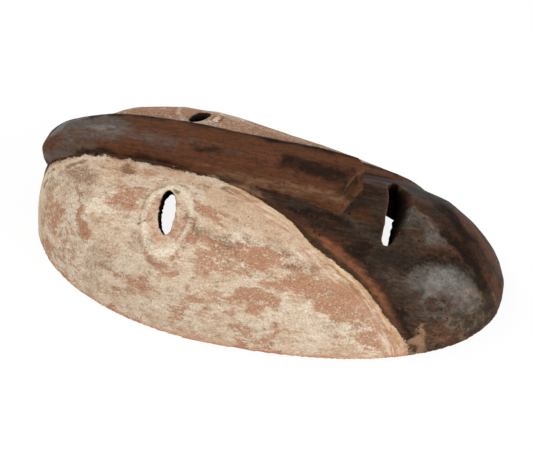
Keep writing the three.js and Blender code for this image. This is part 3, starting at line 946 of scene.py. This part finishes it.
class Nodes:
    """A short way to write a material's nodes."""

    def __init__(self, tree):
        self.tree = tree
        self.tree.nodes.clear()

    def add(self, kind, inputs=(), **settings):
        node = self.tree.nodes.new(kind)
        for key, value in settings.items():
            setattr(node, key, value)
        for key, value in dict(inputs).items():
            self.put(node.inputs[key], value)
        return node

    def put(self, socket, value):
        if isinstance(value, bpy.types.NodeSocket):
            self.tree.links.new(value, socket)
        elif isinstance(value, bpy.types.Node):
            self.tree.links.new(value.outputs[0], socket)
        elif socket.type == "RGBA":
            socket.default_value = (*value, 1.0)
        else:
            socket.default_value = value

    def attribute(self, name):
        return self.add("ShaderNodeAttribute", attribute_name=name).outputs["Fac"]

    def math(self, operation, a, b=0.0):
        return self.add("ShaderNodeMath", {0: a, 1: b}, operation=operation).outputs[0]

    def total(self, first, *others):
        for other in others:
            first = self.math("ADD", first, other)
        return first

    def product(self, first, *others):
        for other in others:
            first = self.math("MULTIPLY", first, other)
        return first

    def inverse(self, value):
        return self.math("SUBTRACT", 1.0, value)

    def span(self, value, low, high, to_low=0.0, to_high=1.0):
        inputs = {"Value": value, "From Min": low, "From Max": high, "To Min": to_low, "To Max": to_high}
        return self.add("ShaderNodeMapRange", inputs, interpolation_type="SMOOTHSTEP").outputs[0]

    def sway(self, noise, reach, spread=0.2):
        """Noise about nothing: from -reach to reach where it goes from 0.5 - spread to 0.5 + spread."""
        return self.span(noise, 0.5 - spread, 0.5 + spread, -reach, reach)

    def band(self, value, middle, width):
        """One where the value is at the middle, falling to nothing width away from it."""
        away = self.math("ABSOLUTE", self.math("SUBTRACT", value, middle))
        return self.span(away, 0.0, width, 1.0, 0.0)

    def place(self):
        return self.add("ShaderNodeTexCoord").outputs["Object"]

    def along(self, axis):
        """How far along an axis of the object a place lies, in millimetres."""
        return self.product(self.add("ShaderNodeSeparateXYZ", {0: self.place()}).outputs[axis], 1 / MM)

    def stretched(self, across, along, shift):
        """Object coordinates in features per millimetre across and along the mask."""
        scale = Vector((across, along, across)) / MM
        inputs = {"Vector": self.place(), "Scale": scale, "Location": (shift, shift, shift)}
        return self.add("ShaderNodeMapping", inputs).outputs[0]

    def clouds(self, vector, detail, rough, warp=0.0):
        inputs = {"Vector": vector, "Scale": 1.0, "Detail": detail, "Roughness": rough, "Distortion": warp}
        return self.add("ShaderNodeTexNoise", inputs).outputs["Fac"]

    def noise(self, across, along, detail, rough, shift, warp=0.0):
        return self.clouds(self.stretched(across, along, shift), detail, rough, warp)

    def pits(self, per_mm, size, shift):
        """Small round pits: one in the middle of some cells, nothing between them."""
        inputs = {"Vector": self.stretched(per_mm, per_mm, shift), "Scale": 1.0}
        cells = self.add("ShaderNodeTexVoronoi", inputs)
        chosen = self.span(cells.outputs["Color"], 0.45, 0.6)
        return self.product(self.span(cells.outputs["Distance"], size * 0.6, size, 1.0, 0.0), chosen)

    def mix(self, factor, a, b, blend="MIX"):
        node = self.add("ShaderNodeMix", data_type="RGBA", blend_type=blend, clamp_factor=True)
        for index, value in zip(MIX_COLOUR_INPUTS, (factor, a, b)):
            self.put(node.inputs[index], value)
        return node.outputs[MIX_COLOUR_OUTPUT]

    def over(self, under, *layers):
        """Lays colours over one another. Each comes with its mask, and with factors of the mask."""
        for colour, *masks in layers:
            under = self.mix(self.product(*masks), under, colour)
        return under

    def surface(self, relief, inputs):
        """A Principled surface with a fine bump, as the material's result."""
        settings = {"Height": relief, "Strength": BUMP_STRENGTH, "Distance": BUMP_DEPTH}
        bump = self.add("ShaderNodeBump", settings)
        made = self.add("ShaderNodeBsdfPrincipled", {**inputs, "Normal": bump})
        self.add("ShaderNodeOutputMaterial", {"Surface": made})

    def group(self, tree, inputs):
        node = self.add("ShaderNodeGroup", node_tree=tree)
        for key, value in inputs.items():
            self.put(node.inputs[key], value)
        return node.outputs


def shade(red, green, blue):
    """A colour given as it looks on a screen, from 0 to 255, in linear light."""
    parts = [c / 255 for c in (red, green, blue)]
    return tuple(((c + 0.055) / 1.055) ** 2.4 if c > 0.04 else c / 12.92 for c in parts)


def new_material(name):
    material = bpy.data.materials.new(name)
    material.use_nodes = True
    return material, Nodes(material.node_tree)


def node_group(name, inputs, outputs, build):
    """A shader node group with named sockets, filled by build(nodes, inputs)."""
    tree = bpy.data.node_groups.new(name, "ShaderNodeTree")
    for sockets, way in ((inputs, "INPUT"), (outputs, "OUTPUT")):
        for socket, kind in sockets.items():
            tree.interface.new_socket(socket, in_out=way, socket_type=kind)
    n = Nodes(tree)
    made = build(n, n.add("NodeGroupInput").outputs)
    n.add("NodeGroupOutput", made)
    return tree


def make_grain_group():
    """Lengthwise wood grain between a dark and a light colour, with darker clouds over it."""

    def build(n, given):
        fibre = n.noise(1.5, 0.1, 5.0, 0.65, 41.0, 0.5)
        hair = n.noise(2.6, 0.4, 3.0, 0.7, 45.0)
        cloud = n.noise(0.11, 0.06, 4.0, 0.65, 51.0)
        colour = n.over(
            given["Dark"],
            (given["Light"], n.span(fibre, 0.36, 0.64)),
            (given["Dark"], n.span(hair, 0.42, 0.66, 0.0, 0.35)),
            (given["Cloud"], n.span(cloud, 0.4, 0.62), given["Clouding"]),
        )
        return {"Color": colour, "Fibre": fibre, "Hair": hair}

    colours = {"Dark": "NodeSocketColor", "Light": "NodeSocketColor", "Cloud": "NodeSocketColor"}
    values = {"Clouding": "NodeSocketFloat"}
    made = {"Color": "NodeSocketColor", "Fibre": "NodeSocketFloat", "Hair": "NodeSocketFloat"}
    return node_group("wood_grain", {**colours, **values}, made, build)


def make_wear_group():
    """Where hands and shelves have worn the wood light: along its sharp outward edges, in patches."""

    def build(n, given):
        patch = n.noise(0.35, 0.2, 4.0, 0.65, 57.0)
        worn = n.total(n.attribute("edge"), n.sway(patch, 0.12))
        return {"Mask": n.product(n.span(worn, given["Start"], given["Full"]), given["Amount"])}

    values = dict.fromkeys(("Start", "Full", "Amount"), "NodeSocketFloat")
    return node_group("worn_edges", values, {"Mask": "NodeSocketFloat"}, build)


def pigment_nodes(n, look, streak, fine, cloud):
    """Chalk white over a clay-coloured ground: rubbed through, streaked, with soot smudges and pitted. On
    the far cheek the rubs and soot smudges are partly painted shade.
    """
    mottle = n.noise(0.5, 0.3, 4.0, 0.65, 2.0, 0.3)
    grit = n.noise(1.5, 1.2, 3.0, 0.8, 17.0)
    speck = n.noise(1.9, 1.5, 2.0, 0.6, 29.0)
    ring = n.attribute("ring")
    plain = n.attribute("plain")
    loud = n.span(plain, 0.2, 0.9, 1.0, 0.4)
    chalky = n.total(n.attribute("chalky"), n.sway(streak, 0.25, 0.15))
    cream = n.over(
        look.cream,
        (look.cream_warm, n.span(cloud, 0.36, 0.62)),
        (look.cream_grey, n.span(mottle, 0.42, 0.62, 0.0, 0.55), loud),
        (look.chalk, n.span(streak, 0.46, 0.64, 0.0, 0.6), loud),
        (look.cream_warm, n.span(plain, 0.2, 0.9, 0.0, 0.75)),
        (look.chalk, n.span(chalky, 0.3, 0.9, 0.0, 0.85)),
        (look.chalk, n.band(ring, 0.98, 0.2), n.span(fine, 0.3, 0.7, 0.6, 1.0)),
    )
    clay = n.over(
        look.clay,
        (look.clay_dark, n.span(streak, 0.36, 0.64)),
        (look.clay_light, n.span(mottle, 0.42, 0.62, 0.0, 0.6)),
        (look.cream, n.span(grit, 0.54, 0.7, 0.0, 0.8)),
    )
    worn = n.total(
        n.attribute("rubbed"),
        n.product(n.span(cloud, 0.38, 0.68, -0.14, 0.2), loud, n.span(ring, 0.9, 1.3)),
        n.sway(mottle, 0.3),
        n.sway(streak, -0.28),
        n.sway(grit, -0.34),
    )
    rubbed = n.span(worn, 0.05, 1.0, 0.0, 0.97)
    soot = n.total(n.attribute("smudge_and_shade"), n.sway(grit, -0.3), n.sway(streak, 0.25, 0.15))
    chip = n.total(n.attribute("chip"), n.span(mottle, 0.3, 0.7, -0.45, 0.3), n.sway(grit, 0.2))
    colour = n.over(
        cream,
        # Where the chalk is rubbed through the clay ground shows; on the far cheek this is partly painted
        # shade.
        (clay, rubbed),
        (look.clay_light, n.band(ring, 0.6, 0.24), n.span(mottle, 0.35, 0.65, 0.3, 0.9)),
        (look.chalk, n.band(ring, 0.98, 0.17), n.span(fine, 0.3, 0.7, 0.3, 0.7)),
        (look.clay_dark, n.band(ring, 1.2, 0.1), n.span(mottle, 0.35, 0.6, 0.0, 0.45)),
        # The soot smudges also lay painted shade on the far cheek beside the ridge.
        (look.soot, n.span(soot, 0.1, 1.2, 0.0, 0.85)),
        (look.grime, n.span(fine, 0.52, 0.7, 0.0, 0.55)),
        (look.grime, n.span(grit, 0.24, 0.38, 0.6, 0.0), loud),
        (look.soot, n.pits(0.5, 0.16, 3.0), n.span(mottle, 0.45, 0.6)),
        (look.soot, n.span(chip, 0.2, 0.5)),
        (look.cream, n.span(chip, 0.75, 0.95)),
    )
    return n.mix(1.0, colour, n.span(speck, 0.3, 0.7, 0.8, 1.14), "MULTIPLY"), rubbed


def finish_face(look, grain, wear):
    """Dark polished wood with chalk white rubbed on the cheeks."""
    material, n = new_material("chalked_wood")
    streak = n.noise(0.9, 0.2, 5.0, 0.7, 7.0, 0.4)
    fine = n.noise(1.3, 0.7, 4.0, 0.75, 13.0)
    cloud = n.noise(0.13, 0.07, 3.0, 0.6, 23.0)
    paint = n.attribute("paint")
    low = n.attribute("by_arris")
    tooth = n.total(n.sway(fine, 0.5), n.sway(streak, 0.3))
    ragged_line = n.total(paint, n.product(tooth, n.span(low, 0.0, 1.0, 0.7, 0.4)))

    # Beside the arris the pigment lies in long streaks. It stands thick and ochre along its lower edge,
    # and thin and brown along the ridge and the rim.
    lengthwise = n.add("ShaderNodeCombineXYZ", {0: n.product(paint, 0.9), 1: n.product(n.along("Y"), 0.13)})
    drag = n.clouds(lengthwise, 4.0, 0.65)
    near_line = n.product(n.span(paint, 3.0, 6.5, 1.0, 0.0), low)
    pigment, rubbed = pigment_nodes(n, look, streak, fine, cloud)
    pigment = n.over(
        pigment,
        (look.clay_light, near_line, 0.5),
        (look.chalk, n.span(drag, 0.52, 0.64, 0.0, 0.6), near_line),
        (look.clay_dark, n.span(drag, 0.47, 0.37, 0.0, 0.7), near_line),
        (look.ochre, n.band(ragged_line, 0.7, 0.9), low, n.span(fine, 0.3, 0.55, 1.0, 0.3)),
        (look.clay_dark, n.band(ragged_line, 0.2, 1.1), n.inverse(low), n.span(cloud, 0.35, 0.6, 0.1, 0.7)),
        (look.rim, n.span(n.along("Z"), 0.8, 2.2, 1.0, 0.0), n.span(streak, 0.35, 0.6, 0.9, 0.3)),
    )

    # Bare wood, in the tones that the strokes give it, among them painted sheen and painted shade, with a
    # worn arris and worn edges.
    tints = {"Dark": look.dark_wood, "Light": look.brown_wood, "Cloud": look.soot_wood}
    woods = n.group(grain, {**tints, "Clouding": 0.75})
    fibre = woods["Fibre"]
    smear = n.noise(0.45, 0.16, 5.0, 0.7, 61.0, 0.4)
    fleck = n.noise(1.2, 0.6, 4.0, 0.75, 67.0)
    dapple = n.noise(0.8, 0.5, 5.0, 0.8, 73.0)
    uneven = n.total(n.sway(smear, 0.24, 0.25), n.sway(fleck, 0.16, 0.25))
    masks = {tone: n.total(n.attribute(tone), uneven) for tone in NEAR_TONES}
    ridge = n.attribute("ridge")
    patches = n.span(fleck, 0.4, 0.62)
    red = n.mix(patches, look.red_wood, look.brown_wood)
    grey_and_sheen = n.mix(patches, look.sheen_grey_wood, look.soot_wood)
    arris = n.total(n.attribute("arris"), n.sway(smear, 0.8))
    worn_arris = n.product(n.band(arris, -0.4, 2.8), n.attribute("worn_arris"))
    edges = n.group(wear, {"Start": 0.2, "Full": 0.7, "Amount": 0.5})["Mask"]
    pits = n.product(n.pits(0.5, 0.24, 5.0), n.inverse(ridge))
    wood = n.over(
        woods["Color"],
        (look.ridge_wood, ridge, 0.65),
        (red, n.span(masks["red"], 0.0, 1.1, 0.0, 0.75)),
        # Painted sheen: a pale greyish highlight colour on the lower lip, the chin and the ridge's forehead
        # end, over greyish patina.
        (grey_and_sheen, n.span(masks["grey_and_sheen"], 0.0, 1.1, 0.0, 0.8)),
        # Painted shade: the darkest tone deepens the valley under the lip, the foot of the nose, the far
        # side of the chin and the ridge's far edge, over blackish patina.
        (look.black_wood, n.span(masks["black_and_shade"], 0.0, 1.2, 0.0, 0.92)),
        (look.tan_wood, n.span(masks["tan"], 0.1, 1.1, 0.0, 0.85)),
        (look.black_wood, n.span(dapple, 0.5, 0.68, 0.0, 0.6)),
        (look.edge_wood, n.span(dapple, 0.46, 0.32, 0.0, 0.3)),
        (look.black_wood, n.span(masks["black_and_shade"], 0.6, 1.4, 0.0, 0.8)),
        (look.dark_wood, n.span(fibre, 0.4, 0.66, 0.0, 0.45), ridge),
        # Painted shade: the walls of the eye slits and the mouth are laid in the darkest wood.
        (look.black_wood, n.attribute("opening")),
        (look.band_wood, n.band(arris, 2.0, 1.8), low, n.span(fleck, 0.4, 0.65, 0.6, 0.25)),
        (look.worn_wood, worn_arris, n.span(fleck, 0.3, 0.62, 0.5, 0.95)),
        (look.edge_wood, edges),
        (look.black_wood, pits, 0.8),
    )

    painted = n.span(ragged_line, -0.15, 0.15)
    bare = n.inverse(painted)
    polish = n.total(n.span(masks["grey_and_sheen"], 0.25, 1.0, 0.0, 0.9), n.sway(fleck, -0.05, 0.15))
    crust = n.product(painted, n.inverse(n.product(rubbed, 0.7)))
    grooves = n.total(n.product(fine, 0.5), n.product(streak, 0.35))
    relief = n.total(grooves, n.product(crust, 0.6), n.product(pits, bare, -0.8))
    inputs = {
        "Base Color": n.mix(painted, wood, pigment),
        "Roughness": n.total(n.product(painted, 0.3), n.span(fibre, 0.3, 0.7, 0.5, 0.62)),
        "Specular IOR Level": 0.06,
        "Coat Weight": n.product(polish, bare, n.span(masks["black_and_shade"], 0.1, 0.8, 1.0, 0.0)),
        "Coat Roughness": 0.4,
    }
    n.surface(relief, inputs)
    return material


def finish_hollow(look, grain, wear):
    """Plain brown wood, rubbed dark, with paler edges."""
    material, n = new_material("hollow_wood")
    tints = {"Dark": look.hollow_dark, "Light": look.hollow_wood, "Cloud": look.brown_wood}
    woods = n.group(grain, {**tints, "Clouding": 0.6})
    edges = n.group(wear, {"Start": 0.05, "Full": 0.4, "Amount": 0.5})["Mask"]
    wood = n.mix(edges, woods["Color"], look.worn_wood)
    relief = n.total(woods["Fibre"], n.product(woods["Hair"], 0.6))
    n.surface(relief, {"Base Color": wood, "Roughness": 0.75, "Specular IOR Level": 0.25})
    return material


def finish_floor():
    """A pale floor that shows white, with a faint shadow where the mask rests on it."""
    material, n = new_material("pale_floor")
    matt = n.add("ShaderNodeBsdfDiffuse", {"Color": (0.9, 0.9, 0.9)})
    glow = n.add("ShaderNodeEmission", {"Color": (1, 1, 1), "Strength": 1.0})
    seen = n.add("ShaderNodeLightPath").outputs["Is Camera Ray"]
    mixed = n.add("ShaderNodeMixShader", {0: n.product(seen, FLOOR_GLOW), 1: matt, 2: glow})
    n.add("ShaderNodeOutputMaterial", {"Surface": mixed})
    return material


def make_world(bright_fill, dim_fill):
    """White light from all round, brightest from the near side and dimmest from the far one."""
    world = bpy.data.worlds.new("studio")
    world.use_nodes = True
    n = Nodes(world.node_tree)
    white = (1, 1, 1)
    place = n.add("ShaderNodeTexCoord").outputs["Generated"]
    side = Vector(FILL_SIDE).normalized()
    towards = n.add("ShaderNodeVectorMath", {0: place, 1: side}, operation="DOT_PRODUCT")
    strength = n.span(towards.outputs["Value"], -0.5, 0.9, dim_fill, bright_fill)
    fill = n.add("ShaderNodeBackground", {"Color": white, "Strength": strength})
    seen_white = n.add("ShaderNodeBackground", {"Color": white, "Strength": 1.0})
    seen = n.add("ShaderNodeLightPath").outputs["Is Camera Ray"]
    mixed = n.add("ShaderNodeMixShader", {0: seen, 1: fill, 2: seen_white})
    n.add("ShaderNodeOutputWorld", {"Surface": mixed})
    return world


def add_soft_box(scene, name, direction, size, power):
    light = bpy.data.lights.new(name, "AREA")
    light.shape = "SQUARE"
    light.size = size
    light.energy = power
    holder = bpy.data.objects.new(name, light)
    holder.location = direction.normalized() * SOFT_BOX_DISTANCE
    holder.rotation_euler = direction.to_track_quat("Z", "Y").to_euler()
    scene.collection.objects.link(holder)


def length(name, description, default):
    return bpy.props.FloatProperty(name=name, description=description, default=default, unit="LENGTH")


def colour(name, description, red, green, blue):
    return bpy.props.FloatVectorProperty(
        name=name,
        description=description,
        default=shade(red, green, blue),
        min=0,
        max=1,
        subtype="COLOR",
    )


class MASK_PG_shape(bpy.types.PropertyGroup):
    rim_width: length("Rim Width", "Width of the flat back rim", 0.0075)
    wall: length("Wall", "Thickness of the wood over the hollow", 0.0068)
    slit_half_length: length("Slit Half Length", "Half the length of an eye slit", 0.0077)
    slit_half_height: length("Slit Half Height", "Half the height of an eye slit", 0.0027)
    mouth_half_width: length("Mouth Half Width", "Half the width of the mouth", 0.0158)
    mouth_drop: length("Mouth Drop", "Depth of the mouth's crescent", 0.0076)
    fineness: length("Fineness", "Edge length of the finished surface", 0.0005)


class MASK_PG_look(bpy.types.PropertyGroup):
    cream: colour("Cream", "Chalk white over most of the cheeks", 199, 180, 158)
    cream_warm: colour("Warm Cream", "Smooth warm chalk white beside the arris", 186, 158, 131)
    cream_grey: colour("Grey Cream", "Thin greyish chalk white", 181, 163, 141)
    chalk: colour("Chalk", "Thick pale chalk", 214, 200, 178)
    ochre: colour("Ochre", "Thick edge of the chalk white", 202, 168, 124)
    clay: colour("Clay", "Ground that shows where the chalk is rubbed off", 163, 115, 88)
    clay_dark: colour("Dark Clay", "Darker streaks of the ground", 148, 100, 74)
    clay_light: colour("Light Clay", "Ground under a last thin film of chalk", 174, 134, 105)
    soot: colour("Soot", "Smudges on the chalk white", 118, 84, 62)
    grime: colour("Grime", "Fine dirt in the chalk white", 158, 134, 112)
    rim: colour("Rim", "Bare edge along the foot of the cheeks", 184, 120, 86)
    dark_wood: colour("Dark Wood", "Dark lines of the polished wood", 40, 26, 18)
    brown_wood: colour("Brown Wood", "Light lines of the polished wood", 78, 52, 36)
    soot_wood: colour("Sooty Wood", "Sooty clouds on the polished wood", 44, 40, 33)
    # Black Wood is also painted shade: under the lip, beside the foot of the nose, along the ridge's far
    # edge and on the walls of the openings.
    black_wood: colour("Black Wood", "Blackest patina", 24, 15, 9)
    # Grey Wood is also painted sheen, where highlights fall on the lower lip, the chin and the ridge.
    sheen_grey_wood: colour("Grey Wood", "Polished greyish patina", 88, 82, 72)
    red_wood: colour("Red Wood", "Reddish wood", 98, 50, 32)
    ridge_wood: colour("Ridge Wood", "Brown of the ridge", 106, 64, 40)
    tan_wood: colour("Tan Wood", "Palest worn wood", 140, 110, 84)
    worn_wood: colour("Worn Wood", "Worn orange arris", 140, 88, 60)
    edge_wood: colour("Edge Wood", "Worn edges of the ridge and the mouth", 104, 72, 52)
    band_wood: colour("Band Wood", "Dark band between the arris and the chalk", 62, 46, 30)
    hollow_wood: colour("Hollow Wood", "Light lines of the wood in the hollow", 126, 92, 64)
    hollow_dark: colour("Dark Hollow Wood", "Dark lines of the wood in the hollow", 74, 50, 34)


class MASK_PG_studio(bpy.types.PropertyGroup):
    bright_fill: bpy.props.FloatProperty(
        name="Bright Fill", description="Strength of the light from the near side", default=1.17, min=0
    )
    dim_fill: bpy.props.FloatProperty(
        name="Dim Fill", description="Strength of the light from the far side", default=0.2, min=0
    )


class MASK_OT_carve(bpy.types.Operator):
    """Carves the mask, hollows it, opens its eyes and mouth and finishes its surface"""

    bl_idname = "mask.carve"
    bl_label = "Carve Mask"

    def execute(self, context):
        shape = context.scene.mask_shape
        look = context.scene.mask_look
        mask = make_blank()
        ridge = make_ridge()
        combine(mask, ridge, "UNION")
        slit = (shape.slit_half_length / MM, shape.slit_half_height / MM)
        cutters = {
            "hollow": make_hollow(shape.rim_width / MM, shape.wall / MM),
            "near_slit": make_eye_slit(NEAR_EYE, *slit),
            "far_slit": make_eye_slit(FAR_EYE, *slit),
            "mouth": make_mouth(shape.mouth_half_width / MM, shape.mouth_drop / MM),
        }
        for cutter in cutters.values():
            combine(mask, cutter, "DIFFERENCE")
        apply_modifier(mask, "REMESH", mode="VOXEL", voxel_size=shape.fineness, adaptivity=0.0)
        apply_modifier(mask, "SMOOTH", factor=0.5, iterations=2)
        thin_out(mask, cutters["hollow"], MASK_FACES)
        weather(mask, cutters["hollow"])
        select_only(mask)
        bpy.ops.object.shade_smooth()
        survey(mask, {"ridge": ridge, **cutters})
        for tool in (ridge, *cutters.values()):
            bpy.data.objects.remove(tool)
        if not mask.data.polygons:
            raise RuntimeError("The mask has no faces.")
        grain = make_grain_group()
        wear = make_wear_group()
        mask.data.materials.clear()
        for finish in (finish_face, finish_hollow):
            mask.data.materials.append(finish(look, grain, wear))
        finish_faces(mask)
        mask.name = "carved_mask"
        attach(mask, "root")
        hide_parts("mask")
        return {"FINISHED"}


class MASK_OT_stage(bpy.types.Operator):
    """Sets the floor, the lights and the camera"""

    bl_idname = "mask.stage"
    bl_label = "Set Stage"

    def execute(self, context):
        scene = context.scene
        studio = scene.mask_studio
        floor = added("floor", bpy.ops.mesh.primitive_plane_add, size=FLOOR_SIZE)
        floor.data.materials.append(finish_floor())
        scene.world = make_world(studio.bright_fill, studio.dim_fill)
        for name, direction, size, power in SOFT_BOXES:
            add_soft_box(scene, name, Vector(direction), size, power)
        camera = bpy.data.cameras.new("camera")
        camera.sensor_width = CAMERA_SENSOR
        camera.lens = CAMERA_LENS
        holder = bpy.data.objects.new("camera", camera)
        holder.location = CAMERA_PLACE
        holder.rotation_euler = [math.radians(angle) for angle in CAMERA_TURN]
        scene.collection.objects.link(holder)
        scene.camera = holder
        scene.view_settings.view_transform = "Standard"
        return {"FINISHED"}


class MASK_PT_panel(bpy.types.Panel):
    """Lists the steps and the values of the mask"""

    bl_idname = "MASK_PT_panel"
    bl_label = "Carved Mask"
    bl_space_type = "VIEW_3D"
    bl_region_type = "UI"
    bl_category = "Mask"

    def draw(self, context):
        for operator in (MASK_OT_carve, MASK_OT_stage):
            self.layout.operator(operator.bl_idname)
        for name in GROUPS:
            box = self.layout.box()
            values = getattr(context.scene, name)
            for key in values.__annotations__:
                box.prop(values, key)


GROUPS = {"mask_shape": MASK_PG_shape, "mask_look": MASK_PG_look, "mask_studio": MASK_PG_studio}
CLASSES = (*GROUPS.values(), MASK_OT_carve, MASK_OT_stage, MASK_PT_panel)


def register():
    for cls in CLASSES:
        bpy.utils.register_class(cls)
    for name, group in GROUPS.items():
        setattr(bpy.types.Scene, name, bpy.props.PointerProperty(type=group))


def unregister():
    for name in GROUPS:
        delattr(bpy.types.Scene, name)
    for cls in reversed(CLASSES):
        bpy.utils.unregister_class(cls)


def main():
    register()
    bpy.ops.mask.carve()
    bpy.ops.mask.stage()


if __name__ == "__main__":
    main()
